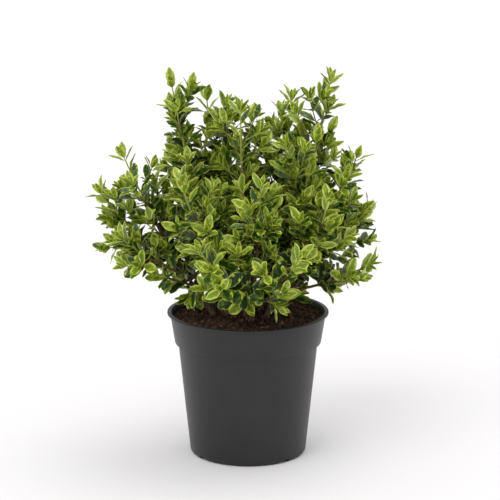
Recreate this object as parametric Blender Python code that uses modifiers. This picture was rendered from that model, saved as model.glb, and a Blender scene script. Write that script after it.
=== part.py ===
"""A potted variegated evergreen shrub, whole, in its plastic nursery pot.

Metres, +Z up. The origin is the middle of the pot's flat underside, and the plant's front faces -Y.
Stems rise from the soil and boughs leave their sides. Each limb ends where it enters its own mass of
foliage: a leading shoot with side twigs and leaves in crossed pairs, all joined into one closed body.
"""

import math
import random
from dataclasses import dataclass, field

import bmesh
import bpy
import numpy as np
from mathutils import Matrix, Vector
from mathutils.bvhtree import BVHTree

NAME = "potted_euonymus"
CLEARANCE = 0.0003  # between solids that touch on the real plant
MERGE = 0.00001
UP = Vector((0.0, 0.0, 1.0))

# The pot: a thin tapered shell with a turned-out lip over a plain band
POT_HEIGHT = 0.171
POT_STEPS = 40
POT_WALL = 0.0017
LIP_RADIUS = 0.095
LIP_DEPTH = 0.0024
BAND_TOP_RADIUS = 0.0915
BAND_FOOT_RADIUS = 0.0862
BAND_FOOT = POT_HEIGHT - 0.037
WALL_TOP_RADIUS = 0.0822
WALL_FOOT_RADIUS = 0.0688
FOOT_RADIUS = 0.0640
FOOT_ROUND = 0.0050
FOOT_RING = 0.0060
FOOT_LIFT = 0.0035
BOSS_RADIUS = 0.0140
FLOOR = 0.0020

# Four drain slots through the foot ring, each with a round hole behind it
DRAIN_COUNT = 4
DRAIN_TURN = math.radians(39.0)
DRAIN_WIDTH = 0.0130
DRAIN_HOLE = 0.0045
DRAIN_HOLE_PLACE = 0.0500
DRAIN_HOLE_SIDES = 16

# The soil that fills it, level in the middle and a little lower at the wall
SOIL_TOP = 0.1660
SOIL_EDGE = 0.1645
SOIL_FLAT_RADIUS = 0.0600

# Limbs
STEM_RADIUS = 0.0036
STEM_TIP_RADIUS = 0.0019
STEM_FLARE = 1.45
STEM_SPREAD = 0.27
BOUGH_RADIUS = 0.0022
BOUGH_TIP_RADIUS = 0.0016
LIMB_POINTS = 5
LIMB_GUARD = 0.0006
BOUGH_LIFT = 0.25
STUB = 0.0030  # the straight run on both sides of a joint
SEAT_OFF = 0.0010
SEAT_LOOK = 0.0060
POT_GUARD = 0.0012

# Shoots and leaves, larger than life where the real crown has many more of them
SHOOT_RADIUS = 0.0015
SHOOT_TIP_RADIUS = 0.0011
SHOOT_POINTS = 5
TWIG_RADIUS = 0.0012
TWIG_TIP_RADIUS = 0.0009
TWIG_SIDES = 4
TWIG_LENGTH = 0.048
TWIG_SHORTEST = 0.014
TWIG_ANGLE = math.radians(50.0)
INTERNODE = 0.0225
LEAF_LENGTH = 0.046
LEAF_WIDTH_SHARE = 0.64
LEAF_THICK_SHARE = 0.030
LEAF_ANGLE = math.radians(56.0)
TIP_LEAF_ANGLE = math.radians(32.0)
TOP_LEAF_ANGLE = math.radians(10.0)
TIP_LEAF_SHARE = 0.80
LEAF_SUNK = 0.0002
LEAF_ROOT = Vector((0.12, 0.0, 0.0))
TWIG_ROOT = Vector((0.0, 0.0, 0.1))
LEAF_SIDES = 4
NODE_SET_BACK = 0.0032
LEAF_TRIES = ((1.0, 1.0), (0.7, 0.88), (0.4, 0.76), (0.9, 0.62))  # share of the angle, share of the length
TWIG_LIMIT = 0.75
SPACE_POINTS = 9
SPACE_MARGIN = 0.0007

# The crown's underside: a cone that widens upwards from the pot's rim
UNDERSIDE = 0.1730
UNDERSIDE_RADIUS = 0.090
UNDERSIDE_SLOPE = 0.45
TIP_EASE = 0.001
TIP_RISE = 0.030

# Where a limb hands over to its foliage, as shares of its whole course
FOLIAGE_FROM = 0.30
FOLIAGE_LATEST = 0.42
FOLIAGE_CLEAR = 0.022
QUARTER = math.radians(90.0)
SEED = 3


@dataclass(frozen=True)
class Leader:
    """A leading shoot: its name, where its furthest leaves end, and how its limb starts."""

    name: str
    tip: Vector
    rises: bool
    fork: float = 0.0


def leader(name, x, y, z, fork=0.0):
    """A leader from millimetres. With no fork height its limb rises from the soil."""
    return Leader(name, Vector((x, y, z)) * 0.001, fork == 0.0, fork)


# Furthest tips of the crown, in millimetres: the outline that shows, and the same habit carried round behind
LEADERS = (
    leader("tall_left", -90, -12, 456),
    leader("crest_left", -50, 40, 433),
    leader("crest_front", -9, -38, 430),
    leader("crest_back", 53, 48, 428),
    leader("crest_right", 81, -48, 399),
    leader("tall_right", 98, 12, 456),
    leader("shoulder_left", -148, -20, 371),
    leader("shoulder_right", 130, -15, 370),
    leader("shoulder_front", 15, -118, 356),
    leader("shoulder_back", -15, 125, 365),
    leader("shoulder_front_left", -78, -95, 362, fork=0.235),
    leader("shoulder_front_right", 92, -92, 340, fork=0.230),
    leader("shoulder_back_left", -95, 90, 372, fork=0.235),
    leader("shoulder_back_right", 90, 95, 368, fork=0.235),
    leader("waist_left_far", -180, 12, 321, fork=0.215),
    leader("waist_left_broad", -152, -70, 281, fork=0.205),
    leader("waist_right", 149, 20, 300, fork=0.215),
    leader("waist_front_left", -58, -138, 285, fork=0.205),
    leader("waist_front_right", 62, -135, 275, fork=0.205),
    leader("waist_back_left", -85, 130, 290, fork=0.205),
    leader("waist_back_right", 85, 132, 285, fork=0.205),
    leader("skirt_left", -116, -50, 232, fork=0.194),
    leader("skirt_right", 153, -30, 240, fork=0.196),
    leader("skirt_front_left", -55, -104, 226, fork=0.192),
    leader("skirt_front_right", 45, -114, 222, fork=0.192),
    leader("skirt_back_left", -65, 108, 228, fork=0.192),
    leader("skirt_back_right", 80, 102, 230, fork=0.192),
)


def material(name, colour, roughness):
    """A plain Principled material."""
    made = bpy.data.materials.new(name)
    made.use_nodes = True
    shader = made.node_tree.nodes["Principled BSDF"]
    shader.inputs["Base Color"].default_value = (*colour, 1.0)
    shader.inputs["Roughness"].default_value = roughness
    shader.inputs["Metallic"].default_value = 0.0
    made.diffuse_color = (*colour, 1.0)
    return made


def add_object(name, mesh, collection, finish=None):
    """Link a new object that holds the mesh."""
    made = bpy.data.objects.new(name, mesh)
    collection.objects.link(made)
    if finish is not None:
        mesh.materials.clear()
        mesh.materials.append(finish)
    return made


def turned(name, profile, collection, finish):
    """Turn a profile of (radius, height) pairs about Z. It runs down its outer side, from axis to axis."""
    mesh = bpy.data.meshes.new(name)
    edges = [(i, i + 1) for i in range(len(profile) - 1)]
    mesh.from_pydata([(radius, 0.0, height) for radius, height in profile], edges, [])
    made = add_object(name, mesh, collection, finish)
    screw = made.modifiers.new("turn", "SCREW")
    screw.axis = "Z"
    screw.steps = POT_STEPS
    screw.render_steps = POT_STEPS
    screw.use_merge_vertices = True
    screw.merge_threshold = MERGE
    screw.use_smooth_shade = True
    return made


def wall_radius(height):
    """The pot's outer radius at a height on its tapered wall, below the band."""
    share = (height - FOOT_ROUND) / (BAND_FOOT - FOOT_ROUND)
    return WALL_FOOT_RADIUS + (WALL_TOP_RADIUS - WALL_FOOT_RADIUS) * share


def pot_profile():
    """From the middle of the inner floor, up the inside, over the lip, down the outside and under the foot."""
    inner_floor = FOOT_LIFT + FLOOR
    band_top = POT_HEIGHT - LIP_DEPTH
    inside = [
        (0.0, inner_floor),
        (wall_radius(inner_floor) - POT_WALL - 0.002, inner_floor),
        (wall_radius(inner_floor + 0.002) - POT_WALL, inner_floor + 0.002),
        (WALL_TOP_RADIUS - POT_WALL, BAND_FOOT + POT_WALL),
        (BAND_FOOT_RADIUS - POT_WALL, BAND_FOOT + POT_WALL),
        (BAND_TOP_RADIUS - POT_WALL, band_top),
    ]
    lip = [
        (LIP_RADIUS - 0.0016, POT_HEIGHT),
        (LIP_RADIUS - 0.0006, POT_HEIGHT),
        (LIP_RADIUS, POT_HEIGHT - 0.0006),
        (LIP_RADIUS, band_top + 0.0004),
        (LIP_RADIUS - 0.0004, band_top),
    ]
    outside = [
        (BAND_TOP_RADIUS, band_top),
        (BAND_FOOT_RADIUS, BAND_FOOT + 0.0006),
        (BAND_FOOT_RADIUS - 0.0006, BAND_FOOT),
        (WALL_TOP_RADIUS, BAND_FOOT),
        (WALL_FOOT_RADIUS, FOOT_ROUND),
    ]
    corner = []
    for step in (1, 2, 3):
        turn = QUARTER * step / 3
        radius = FOOT_RADIUS + (WALL_FOOT_RADIUS - FOOT_RADIUS) * math.cos(turn)
        corner.append((radius, FOOT_ROUND * (1.0 - math.sin(turn))))
    under = [
        (FOOT_RADIUS - FOOT_RING, 0.0),
        (FOOT_RADIUS - FOOT_RING - 0.0005, FOOT_LIFT),
        (BOSS_RADIUS + 0.0005, FOOT_LIFT),
        (BOSS_RADIUS, 0.0),
        (0.0, 0.0),
    ]
    return inside + lip + outside + corner + under


def drain_cutters(collection):
    """A slot through the foot ring and a hole through the floor, four times round."""
    cutters = []
    slot_start = FOOT_RADIUS - FOOT_RING - 0.004
    slot_end = WALL_FOOT_RADIUS + 0.004
    for index in range(DRAIN_COUNT):
        turn = Matrix.Rotation(DRAIN_TURN - QUARTER + index * math.tau / DRAIN_COUNT, 4, "Z")
        shape = bmesh.new()
        middle = ((slot_start + slot_end) / 2, 0.0, FOOT_LIFT / 2 - 0.001)
        size = (slot_end - slot_start, DRAIN_WIDTH, FOOT_LIFT + 0.0016)
        bmesh.ops.create_cube(
            shape, size=1.0, matrix=turn @ Matrix.Translation(middle) @ Matrix.Diagonal((*size, 1.0))
        )
        slot = bpy.data.meshes.new(f"slot_cutter_{index}")
        shape.to_mesh(slot)
        shape.clear()
        hole_middle = Matrix.Translation((DRAIN_HOLE_PLACE, 0.0, FOOT_LIFT + FLOOR / 2))
        bmesh.ops.create_cone(
            shape,
            cap_ends=True,
            segments=DRAIN_HOLE_SIDES,
            radius1=DRAIN_HOLE,
            radius2=DRAIN_HOLE,
            depth=FLOOR * 3,
            matrix=turn @ hole_middle,
        )
        hole = bpy.data.meshes.new(f"hole_cutter_{index}")
        shape.to_mesh(hole)
        shape.free()
        for mesh in (slot, hole):
            cutter = add_object(mesh.name, mesh, collection)
            cutter.hide_render = True
            cutter.display_type = "WIRE"
            cutters.append(cutter)
    return cutters


def make_pot(parts, cutters, finish):
    """The pot, with its drain slots and holes cut."""
    pot = turned("pot", pot_profile(), parts, finish)
    for cutter in drain_cutters(cutters):
        cut = pot.modifiers.new(cutter.name, "BOOLEAN")
        cut.operation = "DIFFERENCE"
        cut.object = cutter
    return pot


def make_soil(parts, finish):
    """The soil: it follows the pot's inside 0.3 mm clear, and its top is level where the stems stand."""
    floor = FOOT_LIFT + FLOOR + CLEARANCE
    shelf = BAND_FOOT + POT_WALL + CLEARANCE
    slope = (BAND_TOP_RADIUS - BAND_FOOT_RADIUS) / (POT_HEIGHT - LIP_DEPTH - BAND_FOOT)
    edge_radius = BAND_FOOT_RADIUS - POT_WALL + (SOIL_EDGE - BAND_FOOT - POT_WALL) * slope - CLEARANCE
    profile = [
        (0.0, SOIL_TOP),
        (SOIL_FLAT_RADIUS, SOIL_TOP),
        (edge_radius, SOIL_EDGE),
        (BAND_FOOT_RADIUS - POT_WALL - CLEARANCE, shelf),
        (WALL_TOP_RADIUS - POT_WALL - CLEARANCE, shelf),
        (wall_radius(floor + 0.002) - POT_WALL - CLEARANCE, floor + 0.002),
        (wall_radius(floor) - POT_WALL - 0.002 - CLEARANCE, floor),
        (0.0, floor),
    ]
    return turned("soil", profile, parts, finish)


@dataclass
class Limb:
    """A run of points that bows from a start by a knee to an end, with a radius that tapers."""

    name: str
    start: Vector
    knee: Vector
    end: Vector
    radius: float
    tip_radius: float
    leaves_at: float = 1.0
    owner: Leader = field(default=None)
    inward: Vector = field(default=None)

    def at(self, share):
        """The point a share of the way along: a quadratic curve through start, knee and end."""
        rest = 1.0 - share
        return self.start * rest * rest + self.knee * 2.0 * share * rest + self.end * share * share

    def heading(self, share):
        """The unit direction a share of the way along."""
        run = (self.knee - self.start) * (1.0 - share) + (self.end - self.knee) * share
        return run.normalized()

    def shoot(self):
        """Points along the part that carries foliage."""
        shares = np.linspace(self.leaves_at, 1.0, SPACE_POINTS)
        return np.array([self.at(float(share)) for share in shares])

    def length(self):
        """The length, from short chords."""
        places = [self.at(step / 24) for step in range(25)]
        return sum((b - a).length for a, b in zip(places, places[1:]))


def stem_limb(lead):
    """A stem that rises from the soil near the middle, leans out and then climbs to its leader's tip."""
    foot = Vector((lead.tip.x, lead.tip.y, 0.0)) * STEM_SPREAD
    foot.z = SOIL_TOP + CLEARANCE
    climb = lead.tip.z - foot.z
    knee = foot + Vector(((lead.tip.x - foot.x) * 0.55, (lead.tip.y - foot.y) * 0.55, climb * 0.42))
    return Limb("stem_" + lead.name, foot, knee, lead.tip, STEM_RADIUS, STEM_TIP_RADIUS, owner=lead)


def bough_limb(lead, stems):
    """A bough that leaves the side of the nearest stem squarely, then curves up to its leader's tip."""
    bearing = Vector((lead.tip.x, lead.tip.y, 0.0)).normalized()
    best = None
    for stem in stems:
        share = next(step / 100 for step in range(101) if stem.at(step / 100).z >= lead.fork)
        place = stem.at(share)
        off = (Vector((place.x, place.y, 0.0)) - bearing * 0.045).length
        if best is None or off < best[0]:
            best = (off, stem, share, place)
    _, stem, share, place = best
    along = stem.heading(share)
    out = Vector((lead.tip.x - place.x, lead.tip.y - place.y, 0.0)).normalized()
    out = (out + UP * BOUGH_LIFT).normalized()
    square = out - along * out.dot(along)
    stem_radius = stem.radius + (stem.tip_radius - stem.radius) * share
    seat = stem_radius + BOUGH_RADIUS * abs(out.dot(along)) / square.length + SEAT_OFF
    square.normalize()
    start = place + square * seat
    knee = start + out * (lead.tip - start).length * 0.5
    return Limb(
        "bough_" + lead.name, start, knee, lead.tip, BOUGH_RADIUS, BOUGH_TIP_RADIUS, owner=lead, inward=-square
    )


def settle(bough, bark):
    """Bring a bough's cut end as close to its stem's bark as parts that touch."""
    ring = [vert.co for vert in limb_mesh(bough).vertices if (vert.co - bough.start).length < BOUGH_RADIUS * 1.1]
    places = ring + [(a + b) / 2 for a in ring for b in ring]
    hits = [bark.ray_cast(place, bough.inward, SEAT_LOOK)[3] for place in places]
    gap = min(hit for hit in hits if hit is not None)
    shift = bough.inward * (gap - CLEARANCE)
    bough.start = bough.start + shift
    bough.knee = bough.knee + shift


def nearest(points, run):
    """The distance of each point from a run of points joined by straight pieces."""
    start = run[:-1]
    along = run[1:] - start
    gap = points[:, None, :] - start
    share = np.clip((gap * along).sum(-1) / (along * along).sum(-1), 0.0, 1.0)
    return np.linalg.norm(gap - share[..., None] * along, axis=-1).min(axis=1)


class Space:
    """The room of one mass: what is nearer its own leading shoot than any other, inside the crown's outline."""

    def __init__(self, limb, limbs):
        """Keep the shoot, the other shoots, and how far out and up the mass may go."""
        self.own = limb.shoot()
        self.others = [other.shoot() for other in limbs if other is not limb]
        tip = limb.owner.tip
        self.bearing = np.array((tip.x, tip.y, 0.0)) / math.hypot(tip.x, tip.y)
        self.reach = math.hypot(tip.x, tip.y) + TIP_EASE
        self.top = tip.z + (TIP_EASE if limb.owner.rises else TIP_RISE)

    def room(self, places):
        """How far the least of the places is inside the room: negative outside."""
        points = np.array(places)
        own = nearest(points, self.own)
        other = np.min([nearest(points, run) for run in self.others], axis=0)
        radius = np.hypot(points[:, 0], points[:, 1])
        under = UNDERSIDE + UNDERSIDE_SLOPE * np.maximum(0.0, radius - UNDERSIDE_RADIUS)
        limits = (
            (other - own) / 2,
            self.reach - points @ self.bearing,
            self.top - points[:, 2],
            points[:, 2] - under,
        )
        return float(np.min(limits))


def tube_mesh(name, points, radii, resolution, twist="MINIMUM", tilt=0.0):
    """A tapered tube with flat ends along the points, as a closed mesh."""
    curve = bpy.data.curves.new(name, "CURVE")
    curve.dimensions = "3D"
    curve.bevel_depth = 1.0
    curve.bevel_resolution = resolution
    curve.twist_mode = twist
    curve.use_fill_caps = True
    spline = curve.splines.new("POLY")
    spline.points.add(len(points) - 1)
    for knot, point, radius in zip(spline.points, points, radii):
        knot.co = (*point, 1.0)
        knot.radius = radius
        knot.tilt = tilt
    guide = bpy.data.objects.new(name, curve)
    bpy.context.scene.collection.objects.link(guide)
    graph = bpy.context.evaluated_depsgraph_get()
    mesh = bpy.data.meshes.new_from_object(guide.evaluated_get(graph))
    bpy.data.objects.remove(guide)
    bpy.data.curves.remove(curve)
    weld = bmesh.new()
    weld.from_mesh(mesh)
    bmesh.ops.remove_doubles(weld, verts=weld.verts, dist=MERGE)
    bmesh.ops.recalc_face_normals(weld, faces=weld.faces)
    weld.to_mesh(mesh)
    weld.free()
    mesh.name = name
    return mesh


def limb_run(limb, from_share, to_share, count):
    """Evenly shared points between two shares of a limb."""
    return [limb.at(from_share + (to_share - from_share) * step / (count - 1)) for step in range(count)]


def limb_mesh(limb, extra=0.0):
    """A limb's tube as far as its foliage. A stem starts upright, with a flat cut and a root flare."""
    points = limb_run(limb, 0.0, limb.leaves_at, LIMB_POINTS)
    points.insert(-1, points[-1] - limb.heading(limb.leaves_at) * STUB)
    count = len(points)
    radii = [limb.radius + (limb.tip_radius - limb.radius) * i / (count - 1) + extra for i in range(count)]
    if limb.owner.rises:
        foot = points[0]
        rise = points[1].z - foot.z
        points[1:1] = [foot + UP * rise * 0.08, limb.at(limb.leaves_at * 0.4 / (count - 1))]
        radii[1:1] = [radii[0] * (1 + STEM_FLARE) / 2, radii[0]]
        radii[0] *= STEM_FLARE
    return tube_mesh(limb.name, points, radii, 1)


def leaf_mesh():
    """One leaf of unit length along +X from its root: a thin lens, widest past its middle, keeled below."""
    shape = bmesh.new()
    bmesh.ops.create_uvsphere(shape, u_segments=LEAF_SIDES, v_segments=2, radius=1.0)
    for vert in shape.verts:
        along = (vert.co.x + 1.0) / 2
        broad = vert.co.y * LEAF_WIDTH_SHARE / 2 * (1.0 + 0.30 * (along - 0.5)) * 1.08
        keel = 0.16 * abs(broad) - 0.10 * along * along
        vert.co = (along, broad, vert.co.z * LEAF_THICK_SHARE / 2 + keel)
    bmesh.ops.recalc_face_normals(shape, faces=shape.faces)
    mesh = bpy.data.meshes.new("leaf")
    shape.to_mesh(mesh)
    shape.free()
    return mesh


def leaf_matrix(root, along, outward, angle, length):
    """Place a leaf at its root: it leans from the shoot's heading to the outward side by an angle."""
    point = along * math.cos(angle) + outward * math.sin(angle)
    face = along * math.sin(angle) - outward * math.cos(angle)
    side = face.cross(point)
    turn = Matrix((point, side, face)).transposed().to_4x4()
    return Matrix.Translation(root - point * LEAF_SUNK) @ turn @ Matrix.Scale(length, 4)


def cross_axes(heading, turn):
    """Two unit directions square to a heading, turned about it."""
    side = heading.cross(UP)
    if side.length < 0.05:
        side = heading.cross(Vector((1.0, 0.0, 0.0)))
    side.normalize()
    first = Matrix.Rotation(turn, 3, heading) @ side
    return first, heading.cross(first)


def pot_guard():
    """A plain drum just larger than the pot: foliage stays out of it."""
    shape = bmesh.new()
    height = POT_HEIGHT + POT_GUARD
    radius = LIP_RADIUS + POT_GUARD
    middle = Matrix.Translation((0.0, 0.0, height / 2))
    bmesh.ops.create_cone(
        shape, cap_ends=True, segments=POT_STEPS, radius1=radius, radius2=radius, depth=height, matrix=middle
    )
    mesh = bpy.data.meshes.new("pot_guard")
    shape.to_mesh(mesh)
    shape.free()
    return mesh


def search_tree(meshes):
    """One search tree of the faces of all the meshes."""
    points = []
    faces = []
    for mesh in meshes:
        first = len(points)
        points.extend(vert.co.copy() for vert in mesh.vertices)
        faces.extend([first + index for index in face.vertices] for face in mesh.polygons)
    return BVHTree.FromPolygons(points, faces)


class Mass:
    """One mass of foliage: its leading shoot, its side twigs and their leaves, grown by a seeded rule."""

    def __init__(self, limb, space, guards, leaf, scratch):
        """Start the mass where its limb hands over to it."""
        self.limb = limb
        self.space = space
        self.guards = guards
        self.leaf = leaf
        self.scratch = scratch
        self.rng = random.Random(f"{limb.owner.name} {SEED}")
        self.pieces = []

    def fits(self, mesh, matrix):
        """Whether a piece stays in the mass's space, and clear of the pot and of every limb."""
        places = [matrix @ vert.co for vert in mesh.vertices]
        middles = [(matrix @ mesh.vertices[a].co + matrix @ mesh.vertices[b].co) / 2 for a, b in mesh.edge_keys]
        if self.space.room(places + middles) < SPACE_MARGIN:
            return False
        tree = BVHTree.FromPolygons(places, [tuple(face.vertices) for face in mesh.polygons])
        return not self.guards.overlap(tree)

    def crosses(self, mesh, matrix, root):
        """Whether a piece, past its root, would cut through a blade or twig that is already there."""
        clear = matrix @ Matrix.Translation(root) @ Matrix.Scale(1.0 - root.length, 4)
        places = [clear @ vert.co for vert in mesh.vertices]
        tree = BVHTree.FromPolygons(places, [tuple(face.vertices) for face in mesh.polygons])
        if any(tree.overlap(other) for other in self.pieces):
            return True
        self.pieces.append(tree)
        return False

    def put(self, mesh, matrix):
        """Add a piece to those that are to be joined."""
        made = bpy.data.objects.new("piece", mesh)
        made.matrix_world = matrix
        self.scratch.objects.link(made)

    def pair(self, place, heading, turn, angle, length):
        """Two opposite leaves at a node. One that doesn't fit folds nearer the shoot, or is left out."""
        first, _ = cross_axes(heading, turn)
        grown = 0
        for outward in (first, -first):
            wander = math.radians(self.rng.uniform(-8.0, 8.0))
            reach = length * self.rng.uniform(0.92, 1.08)
            for fold, shrink in LEAF_TRIES:
                matrix = leaf_matrix(place, heading, outward, angle * fold + wander, reach * shrink)
                if self.fits(self.leaf, matrix) and not self.crosses(self.leaf, matrix, LEAF_ROOT):
                    self.put(self.leaf, matrix)
                    grown += 1
                    break
        return grown

    def twig(self, place, heading, outward, longest):
        """A straight side twig as long as its space allows, with leaves in crossed pairs."""
        lean = TWIG_ANGLE + math.radians(self.rng.uniform(-9.0, 9.0))
        point = (heading * math.cos(lean) + outward * math.sin(lean) + UP * 0.12).normalized()
        length = longest
        while length > TWIG_SHORTEST and self.space.room([place + point * (length + LEAF_LENGTH * 0.6)]) < 0.0:
            length -= 0.002
        if length <= TWIG_SHORTEST:
            return
        shape = bmesh.new()
        bmesh.ops.create_cone(
            shape,
            cap_ends=True,
            segments=TWIG_SIDES,
            radius1=TWIG_RADIUS / length,
            radius2=TWIG_TIP_RADIUS / length,
            depth=1.0,
            matrix=Matrix.Translation((0.0, 0.0, 0.5)),
        )
        mesh = bpy.data.meshes.new("twig")
        shape.to_mesh(mesh)
        shape.free()
        spin = self.rng.uniform(0.0, math.tau)
        corner, other_corner = cross_axes(point, spin + QUARTER / 2)
        turn = Matrix((corner, other_corner, point)).transposed().to_4x4()
        matrix = Matrix.Translation(place) @ turn @ Matrix.Scale(length, 4)
        if not self.fits(mesh, matrix) or self.crosses(mesh, matrix, TWIG_ROOT):
            return
        nodes = max(1, round(length / INTERNODE))
        grown = 0
        for node in range(nodes, 0, -1):
            share = node / nodes
            angle = LEAF_ANGLE + (TIP_LEAF_ANGLE - LEAF_ANGLE) * share * share
            size = LEAF_LENGTH * (1.0 + (TIP_LEAF_SHARE - 1.0) * share)
            node_place = place + point * (length * share - NODE_SET_BACK)
            grown += self.pair(node_place, point, spin + QUARTER * node, angle, size)
            if not grown:
                return
        self.put(mesh, matrix)

    def grow(self, parts, finish):
        """Grow the whole mass and join it into one body."""
        tip_room = LEAF_LENGTH * TIP_LEAF_SHARE * math.cos(TOP_LEAF_ANGLE) - NODE_SET_BACK
        length = self.limb.length()
        first = self.limb.leaves_at
        last = 1.0 - tip_room / length
        points = limb_run(self.limb, first, last, SHOOT_POINTS)
        onward = self.limb.heading(self.limb.leaves_at)
        points[0] = self.limb.at(self.limb.leaves_at) + onward * CLEARANCE
        points.insert(1, points[0] + onward * STUB)
        count = len(points)
        radii = [SHOOT_RADIUS + (SHOOT_TIP_RADIUS - SHOOT_RADIUS) * i / (count - 1) for i in range(count)]
        name = self.limb.owner.name
        spin = self.rng.uniform(0.0, math.tau)
        shoot = tube_mesh(name, points, radii, 0, "Z_UP", spin + QUARTER / 2)
        body = add_object("foliage_" + name, shoot, parts, finish)
        end = last - NODE_SET_BACK / length
        heading = self.limb.heading(end)
        outward, _ = cross_axes(heading, spin)
        crown_leaf = leaf_matrix(self.limb.at(end), heading, outward, TOP_LEAF_ANGLE, LEAF_LENGTH * TIP_LEAF_SHARE)
        self.put(self.leaf, crown_leaf)
        self.crosses(self.leaf, crown_leaf, LEAF_ROOT)
        run = (last - first) * length
        nodes = max(3, round(run / INTERNODE))
        for node in range(nodes, 0, -1):
            share = (node - 0.35) / nodes
            along = first + (last - first) * share - NODE_SET_BACK / length
            place = self.limb.at(along)
            heading = self.limb.heading(along)
            turn = spin + QUARTER * node
            angle = LEAF_ANGLE + (TIP_LEAF_ANGLE - LEAF_ANGLE) * share * share
            size = LEAF_LENGTH * (1.0 + (TIP_LEAF_SHARE - 1.0) * share)
            self.pair(place, heading, turn, angle, size)
            if share < TWIG_LIMIT:
                _, across = cross_axes(heading, turn)
                for outward in (across, -across):
                    self.twig(place, heading, outward, TWIG_LENGTH * (1.1 - 0.4 * share))
        self.join(body)

    def join(self, body):
        """One union of the shoot with everything in the scratch collection, applied."""
        union = body.modifiers.new("join", "BOOLEAN")
        union.operation = "UNION"
        union.operand_type = "COLLECTION"
        union.collection = self.scratch
        union.solver = "MANIFOLD"
        graph = bpy.context.evaluated_depsgraph_get()
        joined = bpy.data.meshes.new_from_object(body.evaluated_get(graph))
        body.modifiers.clear()
        loose = body.data
        body.data = joined
        joined.name = body.name
        bpy.data.meshes.remove(loose)
        for piece in list(self.scratch.objects):
            bpy.data.objects.remove(piece)
        keep_one_body(joined)


def keep_one_body(mesh):
    """Drop scraps that hang loose, and fill hollows that the union sealed: both are the smaller shells."""
    shape = bmesh.new()
    shape.from_mesh(mesh)
    seen = set()
    shells = []
    for start in shape.faces:
        if start in seen:
            continue
        shell = [start]
        seen.add(start)
        for face in shell:
            for edge in face.edges:
                for other in edge.link_faces:
                    if other not in seen:
                        seen.add(other)
                        shell.append(other)
        shells.append(shell)
    shells.sort(key=len)
    for shell in shells[:-1]:
        bmesh.ops.delete(shape, geom=shell, context="FACES")
    shape.to_mesh(mesh)
    shape.free()


def part_limbs(limbs):
    """End each limb where its own course is far enough from the others to carry leaves."""
    runs = [np.array([limb.at(step / 20) for step in range(21)]) for limb in limbs]
    for index, limb in enumerate(limbs):
        others = runs[:index] + runs[index + 1:]
        share = FOLIAGE_FROM
        while share < FOLIAGE_LATEST:
            place = np.array([limb.at(share)])
            if min(nearest(place, run)[0] for run in others) > FOLIAGE_CLEAR:
                break
            share += 0.01
        limb.leaves_at = share


def main():
    """Clear the scene, then build pot, soil, stems, boughs and foliage."""
    for old in list(bpy.data.objects):
        bpy.data.objects.remove(old)
    parts = bpy.data.collections.new(NAME)
    cutters = bpy.data.collections.new("cutters")
    scratch = bpy.data.collections.new("scratch")
    for collection in (parts, cutters, scratch):
        bpy.context.scene.collection.children.link(collection)

    plastic = material("dark_grey_plastic", (0.030, 0.032, 0.034), 0.42)
    earth = material("peat_soil", (0.055, 0.028, 0.014), 0.95)
    bark = material("green_brown_bark", (0.150, 0.110, 0.050), 0.75)
    leafage = material("variegated_leaf", (0.150, 0.210, 0.035), 0.45)

    make_pot(parts, cutters, plastic)
    make_soil(parts, earth)

    stems = [stem_limb(lead) for lead in LEADERS if lead.rises]
    boughs = [bough_limb(lead, stems) for lead in LEADERS if not lead.rises]
    limbs = stems + boughs
    part_limbs(limbs)
    bark_tree = search_tree([limb_mesh(stem) for stem in stems])
    for bough in boughs:
        settle(bough, bark_tree)
    spaces = [Space(limb, limbs) for limb in limbs]
    for limb in limbs:
        add_object(limb.name, limb_mesh(limb), parts, bark)

    guards = search_tree([limb_mesh(limb, LIMB_GUARD) for limb in limbs] + [pot_guard()])
    leaf = leaf_mesh()
    for limb, space in zip(limbs, spaces):
        mass = Mass(limb, space, guards, leaf, scratch)
        mass.grow(parts, leafage)


main()
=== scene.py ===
"""Looks for a potted variegated evergreen shrub: pot, soil, bark, twigs, leaves, floor, light and camera.

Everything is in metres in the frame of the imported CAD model: +Z up, the plant's front faces -Y, and the
origin is the middle of the pot's underside. Limbs follow the same rule as the CAD solids do, and each mass
of foliage is grown again on its leading shoot with finer twigs and leaves at their real size.
"""

import logging
import math
import random
from dataclasses import dataclass, field
from enum import Enum
from typing import Dict, Iterable, List, Sequence, Tuple

import bpy
import numpy as np
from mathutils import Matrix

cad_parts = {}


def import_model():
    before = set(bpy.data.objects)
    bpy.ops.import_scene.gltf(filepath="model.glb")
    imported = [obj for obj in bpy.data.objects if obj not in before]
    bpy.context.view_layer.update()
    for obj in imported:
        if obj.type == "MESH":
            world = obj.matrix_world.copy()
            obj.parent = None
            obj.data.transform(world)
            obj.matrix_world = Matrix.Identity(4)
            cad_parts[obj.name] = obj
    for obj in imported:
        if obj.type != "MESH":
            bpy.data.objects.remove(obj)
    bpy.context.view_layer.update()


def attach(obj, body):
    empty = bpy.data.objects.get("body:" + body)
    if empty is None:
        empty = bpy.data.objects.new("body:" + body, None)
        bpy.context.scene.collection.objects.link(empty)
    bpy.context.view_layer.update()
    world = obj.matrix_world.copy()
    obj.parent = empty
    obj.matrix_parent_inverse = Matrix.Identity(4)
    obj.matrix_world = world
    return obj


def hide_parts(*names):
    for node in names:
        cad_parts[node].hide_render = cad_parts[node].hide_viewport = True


LOG = logging.getLogger("shrub")
Array = np.ndarray
Colour = Tuple[float, float, float]
Range = Tuple[float, float]
UP = np.array((0.0, 0.0, 1.0))
LEVEL = np.array((1.0, 1.0, 0.0))
MM = 0.001
SEED = 11


def unit(vector: Array) -> Array:
    """The vector at length one."""
    return vector / max(float(np.linalg.norm(vector)), 1e-12)


def between(low: object, high: object, share: object) -> object:
    """The value at a share of the way from low to high."""
    return low + (high - low) * share


def clamp(value: float) -> float:
    """The value, held to the range from 0 to 1."""
    return max(0.0, min(1.0, value))


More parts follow.
